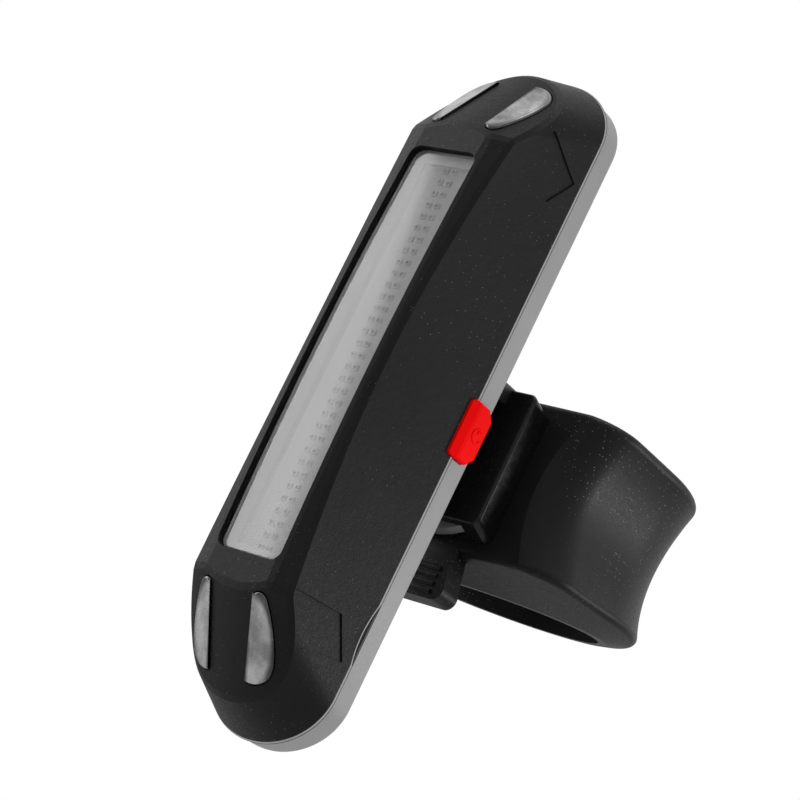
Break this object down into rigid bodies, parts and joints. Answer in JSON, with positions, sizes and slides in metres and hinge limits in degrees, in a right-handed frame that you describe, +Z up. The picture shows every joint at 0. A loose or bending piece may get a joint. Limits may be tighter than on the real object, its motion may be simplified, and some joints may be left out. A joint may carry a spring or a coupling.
{
  "type": "bicycle rear light",
  "caption": "Long waisted rear light with a window, silver inlays, a side button and a tongue clip, in a bracket held by a rubber seat post strap.",
  "frame": {"origin": "on the axis of the seat post, level with the middle of the light head's length", "axes": "+Z up the light head and along the seat post, -Y the way the window faces, +X the side with the button"},
  "size_m": [0.0424, 0.0695, 0.1],
  "materials": {
    "black_plastic": "fine matte grain",
    "glossy_black": "glossy",
    "grey_plastic": "smooth matte",
    "clear_lens": "clear moulded",
    "silver_plastic": "metallised satin",
    "red_silicone": "satin",
    "black_rubber": "satin",
    "grey_rubber": "matte",
    "steel": "plated",
    "white_plastic": "smooth",
    "white_board": "white lacquer",
    "green_board": "green lacquer",
    "light_chip": "clear resin",
    "battery_foil": "foil",
    "foam": "foam",
    "component_grey": "matte",
    "red_sleeve": "smooth",
    "black_sleeve": "smooth"
  },
  "bodies": {
    "bracket": {"bracket_base": "glossy_black", "rubber_strap": "black_rubber"},
    "light_head": {"front_shell": "black_plastic", "window_lens": "clear_lens", "inlay_top_left": "silver_plastic", "inlay_top_right": "silver_plastic", "inlay_bottom_left": "silver_plastic", "inlay_bottom_right": "silver_plastic", "case_seal": "black_rubber", "rear_shell": "grey_plastic", "mount_clip": "grey_plastic", "clip_screws": "steel", "case_screws": "steel", "light_tray": "white_plastic", "led_board": "white_board", "led_chips": "light_chip", "battery": "battery_foil", "battery_pad": "foam", "main_board": "green_board", "board_screws": "steel", "usb_socket": "steel", "switch_body": "black_plastic", "charge_led": "light_chip", "controller_chip": "black_plastic", "board_parts": "component_grey", "battery_leads": "red_sleeve", "led_leads": "black_sleeve"},
    "power_button": {"power_button": "red_silicone"},
    "switch_plunger": {"switch_plunger": "white_plastic"},
    "usb_cover": {"usb_cover": "grey_rubber"}
  },
  "joints": [
    {"name": "head_slide", "type": "slide", "parent": "bracket", "child": "light_head", "axis": [0, 0, 1], "range_m": [0, 0.024]},
    {"name": "button_press", "type": "slide", "parent": "light_head", "child": "power_button", "axis": [-1, 0, 0], "range_m": [0, 0.0004], "stiffness_N_per_m": 1500},
    {"name": "plunger_press", "type": "slide", "parent": "light_head", "child": "switch_plunger", "axis": [-1, 0, 0], "range_m": [0, 0.0004]},
    {"name": "cover_pull", "type": "slide", "parent": "light_head", "child": "usb_cover", "axis": [-1, 0, 0], "range_m": [0, 0.005]}
  ],
  "couplings": [
    {"joint": "plunger_press", "follows": "button_press", "ratio": 1}
  ]
}
